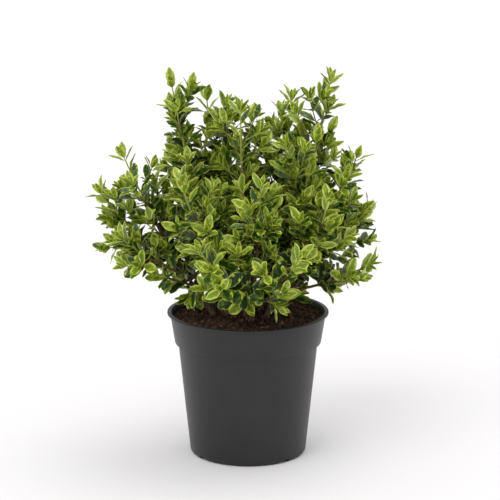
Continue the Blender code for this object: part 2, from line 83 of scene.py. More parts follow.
def srgb(red: float, green: float, blue: float) -> Colour:
    """Turn a colour as the screen shows it into linear light, by the standard's two-part curve.

    Args:
        red: From 0 to 255.
        green: From 0 to 255.
        blue: From 0 to 255.

    Returns:
        The linear colour, from 0 to 1.
    """
    shares = np.array((red, green, blue)) / 255.0
    linear = np.where(shares <= 0.04045, shares / 12.92, ((shares + 0.055) / 1.055) ** 2.4)
    return tuple(float(value) for value in linear)


# Shader maths


class Wire:
    """A node socket that takes part in Python arithmetic: each operation adds one Math node."""

    def __init__(self, shader: "Shader", socket: bpy.types.NodeSocket) -> None:
        """Wrap an output socket of a node in the shader's tree."""
        self.shader = shader
        self.socket = socket

    def _join(self, operation: str, first: object, second: object) -> "Wire":
        """The result of a two-input Math node."""
        return self.shader.node("ShaderNodeMath", {"operation": operation}, {0: first, 1: second})

    def __add__(self, other: object) -> "Wire":
        """Sum."""
        return self._join("ADD", self, other)

    __radd__ = __add__

    def __sub__(self, other: object) -> "Wire":
        """Difference."""
        return self._join("SUBTRACT", self, other)

    def __rsub__(self, other: object) -> "Wire":
        """Difference from a number."""
        return self._join("SUBTRACT", other, self)

    def __mul__(self, other: object) -> "Wire":
        """Product."""
        return self._join("MULTIPLY", self, other)

    __rmul__ = __mul__


class Shader:
    """One node material under construction."""

    def __init__(self, name: str) -> None:
        """Start a material with a Principled shader.

        Args:
            name: The material's name.
        """
        self.material = bpy.data.materials.new(name)
        self.material.use_nodes = True
        self.tree = self.material.node_tree
        self.surface = self.tree.nodes["Principled BSDF"]

    def feed(self, socket: bpy.types.NodeSocket, value: object) -> None:
        """Link a wire to an input, or set the input's own value.

        Args:
            socket: The input.
            value: A wire, a number, or a colour, which gets full alpha.
        """
        if isinstance(value, Wire):
            self.tree.links.new(value.socket, socket)
        elif isinstance(value, tuple):
            socket.default_value = (*value, 1.0)
        else:
            socket.default_value = value

    def node(
        self, kind: str, settings: Dict[str, object], inputs: Dict[object, object], output: object = 0
    ) -> Wire:
        """Add a node.

        Args:
            kind: The node's type.
            settings: Attributes that are set first. "stops" sets a colour ramp.
            inputs: Values or wires by socket name or number.
            output: The socket that the returned wire leaves from.

        Returns:
            A wire from the chosen output.
        """
        made = self.tree.nodes.new(kind)
        for key, value in settings.items():
            if key == "stops":
                for element, (place, colour) in zip(made.color_ramp.elements, value):
                    element.position = place
                    element.color = (*colour, 1.0)
            else:
                setattr(made, key, value)
        for key, value in inputs.items():
            self.feed(made.inputs[key], value)
        return Wire(self, made.outputs[output])

    def set(self, **values: object) -> None:
        """Set or link inputs of the Principled shader. An underscore in a name stands for a space."""
        for key, value in values.items():
            self.feed(self.surface.inputs[key.replace("_", " ")], value)

    def place(self) -> Wire:
        """Object coordinates, in metres."""
        return self.node("ShaderNodeTexCoord", {}, {}, "Object")

    def noise(self, scale: float, detail: float, rough: float = 0.55) -> Wire:
        """Fractal noise on Object coordinates."""
        inputs = {"Vector": self.place(), "Scale": scale, "Detail": detail, "Roughness": rough}
        return self.node("ShaderNodeTexNoise", {}, inputs)

    def ramp(self, factor: Wire, low: Tuple[float, Colour], high: Tuple[float, Colour]) -> Wire:
        """A colour ramp of two stops, each a place and its colour."""
        return self.node("ShaderNodeValToRGB", {"stops": (low, high)}, {"Fac": factor})

    def mix(self, factor: object, first: object, second: object) -> Wire:
        """A mix of two colours, whose sockets follow those for numbers and vectors."""
        return self.node("ShaderNodeMix", {"data_type": "RGBA"}, {0: factor, 6: first, 7: second}, 2)

    def bump(self, height: Wire, strength: float, depth: float) -> None:
        """Feed a height through a Bump node into Normal."""
        inputs = {"Height": height, "Strength": strength, "Distance": depth}
        self.set(Normal=self.node("ShaderNodeBump", {}, inputs))


@dataclass(frozen=True)
class PlainFinish:
    """One plain colour, dealt out by face or by piece: leaf tissue, twig skin or a soil crumb."""

    name: str
    colour: Colour
    roughness: float = 0.38

    def make(self) -> bpy.types.Material:
        """The material."""
        shader = Shader(self.name)
        shader.set(Base_Color=self.colour, Roughness=self.roughness, Specular_IOR_Level=0.5)
        return shader.material


@dataclass(frozen=True)
class PotFinish:
    """Dark grey moulded plastic, a little dusty, with a fine grain."""

    dark: Colour = srgb(18, 19, 21)
    dusty: Colour = srgb(28, 29, 31)
    cloud_scale: float = 22.0
    grain_scale: float = 1400.0
    roughness: float = 0.36
    dust_roughness: float = 0.16

    def make(self) -> bpy.types.Material:
        """Dust lies in clouds, which are paler and duller than the bare plastic.

        Returns:
            The material.
        """
        shader = Shader("pot_moulded_plastic")
        cloud = shader.noise(self.cloud_scale, 4.0)
        grain = shader.noise(self.grain_scale, 2.0)
        shader.set(Base_Color=shader.ramp(cloud, (0.35, self.dark), (0.75, self.dusty)))
        shader.set(Roughness=cloud * self.dust_roughness + self.roughness)
        shader.bump(grain, 0.12, 0.0002)
        return shader.material


@dataclass(frozen=True)
class SoilFinish:
    """Peat between the crumbs, darker in the hollows between its clumps."""

    hollow_colour: Colour = srgb(34, 22, 14)
    clump_colour: Colour = srgb(92, 62, 40)
    clump_scale: float = 260.0

    def make(self) -> bpy.types.Material:
        """Clumps stand up and are paler than the hollows between them.

        Returns:
            The material.
        """
        shader = Shader("soil_peat")
        clumps = shader.noise(self.clump_scale, 5.0, 0.65)
        # The same noise sets the colour and the bump, so the hollows get the darker colour and the clumps
        # the paler one.
        shader.set(Base_Color=shader.ramp(clumps, (0.36, self.hollow_colour), (0.66, self.clump_colour)), Roughness=0.95)
        shader.bump(clumps, 0.7, 0.0012)
        return shader.material


@dataclass(frozen=True)
class BarkFinish:
    """Thin bark: grey-brown at the foot, olive higher up, with dark flecks and cracks."""

    low: Colour = srgb(112, 92, 66)
    high: Colour = srgb(120, 98, 58)
    crack: Colour = srgb(66, 52, 38)
    rise_from: float = 0.17
    rise_to: float = 0.26
    fleck_scale: float = 520.0

    def make(self) -> bpy.types.Material:
        """Height above the soil mixes the two barks, and noise below a level is crack.

        Returns:
            The material.
        """
        shader = Shader("stem_bark")
        height = shader.node("ShaderNodeSeparateXYZ", {}, {0: shader.place()}, "Z")
        climb = (height - self.rise_from) * (1.0 / (self.rise_to - self.rise_from))
        ground = shader.mix(climb, self.low, self.high)
        fleck = shader.noise(self.fleck_scale, 5.0, 0.6)
        mask = shader.ramp(fleck, (0.38, (1.0, 1.0, 1.0)), (0.56, (0.0, 0.0, 0.0)))
        shader.set(Base_Color=shader.mix(mask, ground, self.crack), Roughness=0.75)
        shader.bump(fleck, 0.5, 0.0004)
        return shader.material


# Meshes from arrays


@dataclass
class MeshBatch:
    """Vertices, faces and face materials that are gathered and joined into one object."""

    points: List[Array] = field(default_factory=list)
    faces: List[Array] = field(default_factory=list)
    slots: List[Array] = field(default_factory=list)
    count: int = 0

    def add(self, points: Array, faces: Array, slots: object = 0) -> None:
        """Add quads or triangles. A quad whose last two corners are the same is a triangle.

        Args:
            points: Vertex places, one row each.
            faces: Four vertex numbers to a face.
            slots: One material number, or one for each face.
        """
        self.points.append(points.reshape(-1, 3))
        self.faces.append(faces + self.count)
        self.slots.append(np.broadcast_to(np.asarray(slots), (len(faces),)))
        self.count += len(self.points[-1])

    def build(
        self, name: str, finishes: Sequence[bpy.types.Material], smooth: bool = True
    ) -> bpy.types.Object:
        """Make the object.

        Args:
            name: The object's name.
            finishes: The materials in the order of their numbers.
            smooth: Whether the faces are shaded smooth.

        Returns:
            The object, at the origin.
        """
        points = np.concatenate(self.points)
        faces = np.concatenate(self.faces)
        triangle = faces[:, 2] == faces[:, 3]
        keep = np.ones(faces.shape, bool)
        keep[triangle, 3] = False
        corners = faces[keep]
        starts = np.concatenate(([0], np.cumsum(np.where(triangle, 3, 4))[:-1]))
        mesh = bpy.data.meshes.new(name)
        mesh.vertices.add(len(points))
        mesh.vertices.foreach_set("co", points.astype(np.float32).ravel())
        mesh.loops.add(len(corners))
        mesh.loops.foreach_set("vertex_index", corners.astype(np.int32))
        mesh.polygons.add(len(faces))
        mesh.polygons.foreach_set("loop_start", starts.astype(np.int32))
        mesh.polygons.foreach_set("material_index", np.concatenate(self.slots).astype(np.int32))
        mesh.polygons.foreach_set("use_smooth", np.full(len(faces), smooth))
        for finish in finishes:
            mesh.materials.append(finish)
        mesh.update(calc_edges=True)
        mesh.validate()
        return place_in_scene(name, mesh)


def place_in_scene(name: str, mesh: bpy.types.Mesh) -> bpy.types.Object:
    """Make an object of a mesh, at the origin.

    Args:
        name: The object's name.
        mesh: Its mesh.

    Returns:
        The object.
    """
    made = bpy.data.objects.new(name, mesh)
    bpy.context.scene.collection.objects.link(made)
    return made


def dressed(made: bpy.types.Object, nodes: Iterable[str]) -> bpy.types.Object:
    """Hide the CAD nodes that a piece stands for.

    Args:
        made: The piece.
        nodes: The names of the CAD nodes.

    Returns:
        The piece.
    """
    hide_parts(*nodes)
    return made


def grid_faces(rows: int, columns: int, closed: bool) -> Array:
    """Quads of a grid of vertices that is stored row by row.

    Args:
        rows: Vertices one way.
        columns: Vertices the other way.
        closed: Whether the last column joins the first.

    Returns:
        Four vertex numbers to a face.
    """
    span = columns if closed else columns - 1
    row, column = np.meshgrid(np.arange(rows - 1), np.arange(span), indexing="ij")
    here = row * columns + column
    beside = row * columns + (column + 1) % columns
    return np.stack((here, beside, beside + columns, here + columns), axis=-1).reshape(-1, 4)


def shell_faces(rings: int, sides: int, inside_first: bool = False) -> Array:
    """Faces of a closed shell: rings of vertices, then the pole of the first ring and that of the last.

    Args:
        rings: Rings, each turning anticlockwise about the way that they run.
        sides: Vertices to a ring.
        inside_first: Whether the rings run out from the middle and down, which turns the faces round.

    Returns:
        Four vertex numbers to a face, with the last two the same in a triangle.
    """
    around = np.arange(sides)
    onward = (around + 1) % sides
    foot = np.full(sides, rings * sides)
    head = foot + 1
    last = (rings - 1) * sides
    start = np.stack((onward, around, foot, foot), axis=-1)
    end = np.stack((last + around, last + onward, head, head), axis=-1)
    faces = np.concatenate((grid_faces(rings, sides, True), start, end))
    return faces[:, [1, 0, 3, 2]] if inside_first else faces


def frames_along(path: Array) -> Tuple[Array, Array]:
    """Two unit directions square to a path at each of its points, with little twist.

    Args:
        path: Points, one row each.

    Returns:
        The two directions as arrays shaped like the path.
    """
    run = np.gradient(path, axis=0)
    run /= np.linalg.norm(run, axis=1, keepdims=True)
    guide = np.where(np.abs(run[:, 2:3]) > 0.9, np.array((1.0, 0.0, 0.0)), UP)
    guide = np.broadcast_to(guide[len(guide) // 2], run.shape)
    side = np.cross(run, guide)
    side /= np.linalg.norm(side, axis=1, keepdims=True)
    return side, np.cross(run, side)


def tube(path: Array, radii: Array, sides: int, relief: float = 0.0, seed: int = 0) -> Tuple[Array, Array]:
    """A closed tube: path + (first cos t + second sin t) radius (1 + wander), with a pole at each end.

    Args:
        path: Points along the middle.
        radii: A radius for each point.
        sides: Vertices round a circle.
        relief: The share of the radius that the surface wanders by.
        seed: The seed of that wander.

    Returns:
        Vertices, and faces of four vertex numbers.
    """
    first, second = frames_along(path)
    turn = np.linspace(0.0, math.tau, sides, endpoint=False)
    ring = np.cos(turn)[None, :, None] * first[:, None] + np.sin(turn)[None, :, None] * second[:, None]
    wander = np.random.default_rng(seed).normal(0.0, relief, (len(path), sides, 1)) if relief else 0.0
    shell = path[:, None] + ring * radii[:, None, None] * (1.0 + wander)
    points = np.concatenate((shell.reshape(-1, 3), path[:1], path[-1:]))
    return points, shell_faces(len(path), sides)


# Limbs, by the same rule as the CAD solids


@dataclass(frozen=True)
class Leader:
    """A leading shoot: where its furthest leaves end, in millimetres, and where its bough forks off."""

    name: str
    x: float
    y: float
    z: float
    fork: float = 0.0

    @property
    def tip(self) -> Array:
        """The furthest tip, in metres."""
        return np.array((self.x, self.y, self.z)) * MM

    @property
    def tier(self) -> str:
        """The part of the crown it belongs to."""
        return self.name.split("_")[0]


LEADERS: Tuple[Leader, ...] = (
    Leader("tall_left", -90, -12, 456),
    Leader("crest_left", -50, 40, 433),
    Leader("crest_front", -9, -38, 430),
    Leader("crest_back", 53, 48, 428),
    Leader("crest_right", 81, -48, 399),
    Leader("tall_right", 98, 12, 456),
    Leader("shoulder_left", -148, -20, 371),
    Leader("shoulder_right", 130, -15, 370),
    Leader("shoulder_front", 15, -118, 356),
    Leader("shoulder_back", -15, 125, 365),
    Leader("shoulder_front_left", -78, -95, 362, fork=0.235),
    Leader("shoulder_front_right", 92, -92, 340, fork=0.230),
    Leader("shoulder_back_left", -95, 90, 372, fork=0.235),
    Leader("shoulder_back_right", 90, 95, 368, fork=0.235),
    Leader("waist_left_far", -180, 12, 321, fork=0.215),
    Leader("waist_left_broad", -152, -70, 281, fork=0.205),
    Leader("waist_right", 149, 20, 300, fork=0.215),
    Leader("waist_front_left", -58, -138, 285, fork=0.205),
    Leader("waist_front_right", 62, -135, 275, fork=0.205),
    Leader("waist_back_left", -85, 130, 290, fork=0.205),
    Leader("waist_back_right", 85, 132, 285, fork=0.205),
    Leader("skirt_left", -116, -50, 232, fork=0.194),
    Leader("skirt_right", 153, -30, 240, fork=0.196),
    Leader("skirt_front_left", -55, -104, 226, fork=0.192),
    Leader("skirt_front_right", 45, -114, 222, fork=0.192),
    Leader("skirt_back_left", -65, 108, 228, fork=0.192),
    Leader("skirt_back_right", 80, 102, 230, fork=0.192),
)


@dataclass
class Limb:
    """A quadratic curve from a start by a knee to a tip, with a radius that tapers."""

    leader: Leader
    start: Array
    knee: Array
    end: Array
    radius: float
    tip_radius: float

    def at(self, share: object) -> Array:
        """Points at shares of the course: start (1-s)^2 + 2 knee s (1-s) + end s^2.

        Args:
            share: One share from 0 to 1, or a row of them.

        Returns:
            One point, or a row of points.
        """
        along = np.atleast_1d(np.asarray(share, float))[:, None]
        rest = 1.0 - along
        points = self.start * rest * rest + self.knee * 2.0 * along * rest + self.end * along * along
        return points if np.ndim(share) else points[0]

    def heading(self, share: float) -> Array:
        """The unit direction at a share of the course."""
        return unit((self.knee - self.start) * (1.0 - share) + (self.end - self.knee) * share)

    def length(self) -> float:
        """The length, from short chords."""
        places = self.at(np.linspace(0.0, 1.0, 25))
        return float(np.linalg.norm(np.diff(places, axis=0), axis=1).sum())


@dataclass
class Limbs:
    """All stems and boughs, with the rule that lays them out and the bark that covers them."""

    soil_top: float = 0.1663
    spread: float = 0.27
    knee_out: float = 0.55
    knee_climb: float = 0.42
    stem_radius: float = 0.0026
    stem_tip_radius: float = 0.0012
    bough_radius: float = 0.0017
    bough_tip_radius: float = 0.0012
    bough_lift: float = 0.25
    bough_knee: float = 0.5
    fork_ring: float = 0.045
    flare: float = 0.55
    flare_height: float = 0.006
    bark_to: float = 0.72
    scars: float = 11.0
    scar_swell: float = 0.07
    rings: int = 40
    sides: int = 12
    relief: float = 0.035

    def grow(self) -> List[Limb]:
        """Lay out the stems first and then the boughs that leave them."""
        stems = [self.stem(lead) for lead in LEADERS if not lead.fork]
        return stems + [self.bough(lead, stems) for lead in LEADERS if lead.fork]

    def stem(self, lead: Leader) -> Limb:
        """A stem that rises from the soil near the middle, leans out and climbs to its tip.

        Args:
            lead: Its leading shoot.

        Returns:
            The stem.
        """
        foot = lead.tip * self.spread
        foot[2] = self.soil_top
        climb = lead.tip[2] - foot[2]
        knee = foot + np.array((*((lead.tip - foot)[:2] * self.knee_out), climb * self.knee_climb))
        return Limb(lead, foot, knee, lead.tip, self.stem_radius, self.stem_tip_radius)

    def bough(self, lead: Leader, stems: Sequence[Limb]) -> Limb:
        """A bough that leaves the nearest stem at its fork height and curves up to its tip.

        Args:
            lead: Its leading shoot.
            stems: The stems to choose from.

        Returns:
            The bough.
        """
        bearing = unit(lead.tip * LEVEL)
        courses = [stem.at(np.linspace(0.0, 1.0, 101)) for stem in stems]
        places = [course[int(np.argmax(course[:, 2] >= lead.fork))] for course in courses]
        off = [np.linalg.norm((place - bearing * self.fork_ring)[:2]) for place in places]
        place = places[int(np.argmin(off))]
        out = unit((lead.tip - place) * LEVEL)
        out = unit(out + UP * self.bough_lift)
        knee = place + out * float(np.linalg.norm(lead.tip - place)) * self.bough_knee
        return Limb(lead, place, knee, lead.tip, self.bough_radius, self.bough_tip_radius)

    def bark_radii(self, limb: Limb, shares: Array, heights: Array) -> Array:
        """Radii that taper to the tip, swell at a stem's foot by e^-(height/h) and at scars by cos^6.

        Args:
            limb: The stem or bough.
            shares: Shares of its course.
            heights: The height at each share.

        Returns:
            A radius for each share.
        """
        radii = between(limb.radius, limb.tip_radius, shares)
        if not limb.leader.fork:
            radii *= 1.0 + self.flare * np.exp(-(heights - heights[0]) / self.flare_height)
        scar = np.maximum(0.0, np.cos(shares * math.tau * self.scars)) ** 6
        return radii * (1.0 + self.scar_swell * scar)

    def dress(self, limbs: Sequence[Limb], bark: bpy.types.Material) -> List[bpy.types.Object]:
        """Cover the limbs with bark tubes that have relief.

        Args:
            limbs: Stems and boughs.
            bark: The bark's material.

        Returns:
            One object for the stems and one for the boughs.
        """
        shares = np.linspace(0.0, self.bark_to, self.rings)
        pieces = []
        for kind, forked in (("stem", False), ("bough", True)):
            chosen = [limb for limb in limbs if bool(limb.leader.fork) == forked]
            batch = MeshBatch()
            for index, limb in enumerate(chosen):
                path = limb.at(shares)
                radii = self.bark_radii(limb, shares, path[:, 2])
                batch.add(*tube(path, radii, self.sides, self.relief, SEED + index))
            nodes = [f"{kind}_{limb.leader.name}" for limb in chosen]
            pieces.append(dressed(batch.build(f"bark_{kind}s", [bark]), nodes))
        return pieces


def nearest(points: Array, starts: Array, ends: Array) -> Array:
    """The distance of each point from the nearest of a set of straight pieces.

    Args:
        points: Points, one row each.
        starts: Where the pieces start.
        ends: Where they end.

    Returns:
        One distance to a point.
    """
    along = ends - starts
    gap = points[:, None, :] - starts
    share = np.clip((gap * along).sum(-1) / (along * along).sum(-1), 0.0, 1.0)
    return np.linalg.norm(gap - share[..., None] * along, axis=-1).min(axis=1)


@dataclass
class Space:
    """The room of one mass: nearest its own leading shoot, and within reach, top and underside."""

    limb: Limb
    others: Sequence[Limb]
    under: float = 0.1685
    under_radius: float = 0.030
    under_slope: float = 0.40
    rise: float = 0.030
    chords: int = 8
    foliage_from: float = 0.30

    def __post_init__(self) -> None:
        """Keep the shoots as straight pieces."""
        shares = np.linspace(self.foliage_from, 1.0, self.chords + 1)
        own = self.limb.at(shares)
        rest = [limb.at(shares) for limb in self.others]
        self.own = (own[:-1], own[1:])
        self.rest = (np.concatenate([run[:-1] for run in rest]), np.concatenate([run[1:] for run in rest]))
        tip = self.limb.leader.tip
        self.bearing = unit(tip * LEVEL)
        self.reach = float(np.hypot(tip[0], tip[1]))
        self.top = tip[2] + (self.rise if self.limb.leader.fork else 0.0)

    def room(self, points: Array) -> float:
        """How far the least of the points is inside: the least of its distances from the four limits.

        Args:
            points: One point, or a row of them.

        Returns:
            The distance, negative outside.
        """
        points = np.atleast_2d(points)
        share = (nearest(points, *self.rest) - nearest(points, *self.own)) / 2
        radius = np.hypot(points[:, 0], points[:, 1])
        under = self.under + self.under_slope * np.maximum(0.0, radius - self.under_radius)
        height = points[:, 2]
        limits = (share, self.reach - points @ self.bearing, self.top - height, height - under)
        return float(np.min(limits))


# Leaves


class Tone(Enum):
    """How old a leaf is, which sets its colours."""

    DEEP = 0
    FRESH = 1
    YOUNG = 2


LEAF_FINISHES: Dict[Tone, Tuple[PlainFinish, PlainFinish, PlainFinish]] = {
    Tone.DEEP: (
        PlainFinish("leaf_deep_heart", srgb(22, 44, 12)),
        PlainFinish("leaf_deep_middle", srgb(48, 74, 20)),
        PlainFinish("leaf_deep_margin", srgb(172, 186, 80)),
    ),
    Tone.FRESH: (
        PlainFinish("leaf_fresh_heart", srgb(40, 72, 16)),
        PlainFinish("leaf_fresh_middle", srgb(84, 114, 28)),
        PlainFinish("leaf_fresh_margin", srgb(184, 196, 74)),
    ),
    Tone.YOUNG: (
        PlainFinish("leaf_young_heart", srgb(112, 140, 34)),
        PlainFinish("leaf_young_middle", srgb(158, 176, 52)),
        PlainFinish("leaf_young_margin", srgb(202, 210, 92)),
    ),
}


@dataclass
class Leaves:
    """Leaves by their measures: a row for each while they grow, then an array for each measure."""

    rows: List[Tuple] = field(default_factory=list)

    def add(
        self, root: Array, along: Array, face: Array, size: Range, bend: float, point: float, tone: Tone
    ) -> None:
        """Add one leaf.

        Args:
            root: Where its stalk starts.
            along: The unit direction from root to tip.
            face: The unit direction that its upper side faces.
            size: Length and width.
            bend: How far the tip falls, as a share of the length.
            point: How pointed it is, from 0 to 1.
            tone: Its age.
        """
        self.rows.append((root, along, np.cross(face, along), face, *size, bend, point, tone.value))

    def finish(self) -> None:
        """Turn the rows into an array for each measure."""
        columns = [np.array(column) for column in zip(*self.rows)]
        self.root, self.along, self.side, self.face = columns[:4]
        self.length, self.width, self.bend, self.point, self.tone = columns[4:]


@dataclass
class LeafShape:
    """The leaf's grid: a point is a share of the length and a share of the half width."""

    rows: Tuple[float, ...] = (0.0, 0.07, 0.14, 0.25, 0.37, 0.49, 0.61, 0.72, 0.82, 0.91, 0.97, 1.0)
    heart: float = 0.46
    margin: float = 0.84
    margin_wander: float = 0.07
    young_margin: float = 0.16
    stalk: float = 0.07
    stalk_width: float = 0.07
    notch: float = 0.035
    fold: float = 0.30
    ripple: float = 0.05
    ripple_turns: float = 14.0
    shorten: float = 0.55
    round_powers: Range = (0.80, 0.46)
    point_powers: Range = (0.85, 0.90)
    feather_heart: float = 0.18
    feather_inward: float = 0.16
    feather_outward: float = 0.90

    @property
    def columns(self) -> Array:
        """Shares of the half width, from one edge over the midrib to the other."""
        half = np.array((self.heart, self.margin, 1.0))
        return np.concatenate((-half[::-1], (0.0,), half))

    def half_width(self, point: Array) -> Array:
        """Half the width at each row of each leaf, as a share of the widest.

        Past a narrow stalk it is t^p (1-t)^q, scaled to reach 1. The powers go from those of a round
        leaf to those of a pointed one.

        Args:
            point: How pointed each leaf is, from 0 to 1.

        Returns:
            One row to a leaf.
        """
        rows = np.array(self.rows)[None, :]
        blade = np.clip((rows - self.stalk) / (1.0 - self.stalk), 0.0, 1.0)
        rise, fall = [between(a, b, point[:, None]) for a, b in zip(self.round_powers, self.point_powers)]
        peak = rise / (rise + fall)
        width = blade ** rise * (1.0 - blade) ** fall / (peak ** rise * (1.0 - peak) ** fall)
        width[:, 2:-1] *= 1.0 + self.notch * np.where(np.arange(rows.shape[1] - 3) % 2, 1.0, -1.0)
        return np.maximum(width, self.stalk_width * (rows < 0.5))

    def points(self, leaves: Leaves, rng: np.random.Generator) -> Array:
        """Vertices: root + along (length u) + side (width w(u) v) + face (fold |v| w - bend u^2 + ripple).

        Args:
            leaves: The leaves' places and sizes.
            rng: Random draws for margins and ripples.

        Returns:
            One point to a row, leaf by leaf.
        """
        rows = np.array(self.rows)[None, :, None]
        shares = self.columns
        length, width, bend = [
            values[:, None, None] for values in (leaves.length, leaves.width, leaves.bend)
        ]
        count = len(leaves.root)
        columns = np.broadcast_to(shares, (count, len(self.rows), len(shares))).copy()
        margin = np.abs(shares) == self.margin
        edge = rng.normal(0.0, self.margin_wander, columns.shape)
        columns += np.where(margin, edge * np.sign(shares), 0.0)
        young = (leaves.tone == Tone.YOUNG.value)[:, None, None]
        columns *= np.where(margin, 1.0 - self.young_margin * young, 1.0)
        half = self.half_width(leaves.point)[:, :, None] * width / 2
        wave = np.sin(rows * self.ripple_turns + rng.uniform(0.0, math.tau, (count, 1, 1)))
        across = columns * half
        lift = np.abs(columns) * half * self.fold
        lift += np.abs(columns) ** 3 * wave * self.ripple * width
        lift -= bend * length * rows ** 2
        along = np.broadcast_to(rows * length * (1.0 - self.shorten * bend ** 2), across.shape)
        points = (
            leaves.root[:, None, None]
            + along[..., None] * leaves.along[:, None, None]
            + across[..., None] * leaves.side[:, None, None]
            + lift[..., None] * leaves.face[:, None, None]
        )
        return points.reshape(-1, 3)

    def tissue(self, count: int, rng: np.random.Generator) -> Array:
        """The tissue of each face: 0 heart, 1 middle and 2 margin, feathered where they meet.

        Args:
            count: How many leaves.
            rng: Random draws for the feathering.

        Returns:
            A row of faces to a leaf.
        """
        strips = len(self.columns) - 1
        cells = len(self.rows) - 1
        strip = np.tile(np.arange(strips), cells)
        ring = np.minimum(strip, strips - 1 - strip)
        row = np.repeat(np.arange(cells), strips)
        group = np.select([(ring == 0) | (row >= cells - 1), ring == 1], [2, 1], 0)
        groups = np.broadcast_to(group, (count, len(group))).copy()
        feather = rng.random(groups.shape)
        groups = np.where((ring == 2) & (feather < self.feather_heart), 1, groups)
        groups = np.where((ring == 1) & (feather < self.feather_inward), 0, groups)
        return np.where((ring == 1) & (feather > self.feather_outward), 2, groups)

    def mesh(self, leaves: Leaves, rng: np.random.Generator) -> Tuple[Array, Array, Array]:
        """All leaves at once.

        Args:
            leaves: The leaves' places and sizes.
            rng: Random draws.

        Returns:
            Vertices, faces that point to the leaf's upper side, and the face materials.
        """
        points = self.points(leaves, rng)
        count = len(leaves.root)
        size = len(self.rows) * len(self.columns)
        cells = grid_faces(len(self.rows), len(self.columns), False)[:, ::-1]
        faces = (cells[None] + (np.arange(count) * size)[:, None, None]).reshape(-1, 4)
        tissues = self.tissue(count, rng)
        return points, faces, (tissues + 3 * leaves.tone[:, None]).ravel()


@dataclass(frozen=True)
class TuftPair:
    """A pair of a tip's rosette: its turn, its lean in degrees, its share of a leaf and how low it sits."""

    turn: float
    lean: Range
    size: float
    seat: float


@dataclass
class Growth:
    """The rule by which a mass grows, and the places that leaves have taken.

    Leaves stand in pairs, each square to the last, with twigs in their axils. Angles that wander do so in
    degrees, and a pair of numbers is a range to draw from.
    """

    internode: float = 0.0135
    first_leaf: float = 0.05
    leaf_length: float = 0.0285
    leaf_share: float = 0.56
    young_share: float = 0.42
    small_leaf: float = 0.76
    full_grown: float = 2.2
    leaf_angle: float = math.radians(60.0)
    tip_angle: float = math.radians(34.0)
    twig_angle: float = math.radians(46.0)
    sway: float = 12.0
    leaf_sizes: Range = (0.86, 1.14)
    leaf_widths: Range = (0.90, 1.12)
    leaf_bends: Range = (0.02, 0.22)
    young_bend: float = 0.4
    tip_point: float = 1.15
    age_round: float = 1.3
    low_round: float = 0.45
    leaf_lift: float = 0.10
    leaf_twist: float = 0.15
    blade_middle: float = 0.55
    spacing: float = 0.0066
    slack: float = -0.006
    girth_top: float = 400.0
    girth_drop: float = 170.0
    girth_gain: float = 0.16
    tone_wander: float = 0.16
    young_until: float = 0.22
    fresh_until: float = 0.55
    shoot_radius: float = 0.0013
    shoot_from: float = 0.68
    shoot_taper: float = 0.6
    shoot_rings: int = 14
    shoot_sides: int = 6
    tip_room: float = 0.52
    shoot_age: float = 0.15
    tip_stretch: float = 0.05
    bare_tip: float = 0.035
    twig_chance: float = 0.8
    twig_length: float = 0.060
    twig_start: float = 0.018
    twig_gain: float = 0.5
    twig_lengths: Range = (0.75, 1.1)
    twig_shortest: float = 0.012
    twig_margin: float = 0.012
    twig_step: float = 0.002
    twig_radius: float = 0.0009
    twig_taper: float = 0.62
    twig_rings: int = 6
    twig_sides: int = 5
    twig_bend: float = 0.4
    twig_age: float = 0.07
    twig_youngest: float = 0.12
    twig_leaf: float = 0.94
    fork_chance: float = 0.5
    fork_length: float = 0.5
    low: float = 0.215
    rise: float = 0.16
    droop: float = -0.55
    rise_end: float = 0.30
    droop_end: float = -0.1
    tuft: Tuple[TuftPair, ...] = (
        TuftPair(0.0, (40.0, 56.0), 0.80, 0.003),
        TuftPair(math.pi / 2, (8.0, 20.0), 0.62, 0.0),
    )
    tuft_sizes: Range = (0.9, 1.1)
    tuft_bend: float = 0.04
    tuft_point: float = 0.9
    taken: List[Array] = field(default_factory=list)

    def free(self, place: Array) -> bool:
        """Whether a leaf's middle is clear of all those already grown, and keep it if so.

        Args:
            place: The middle.

        Returns:
            Whether it is clear.
        """
        if self.taken:
            gaps = np.linalg.norm(np.array(self.taken) - place, axis=1)
            if float(gaps.min()) < self.spacing:
                return False
        self.taken.append(place)
        return True


@dataclass
class Twig:
    """A side twig: it sets out one way and bends evenly towards another."""

    start: Array
    out: Array
    end: Array
    length: float
    bend: float

    def at(self, share: object) -> Array:
        """Points at shares of the length: start + out l s (1 - b s) + end l b s^2."""
        set_out = self.out * self.length * share * (1.0 - self.bend * share)
        return self.start + set_out + self.end * self.length * self.bend * share ** 2


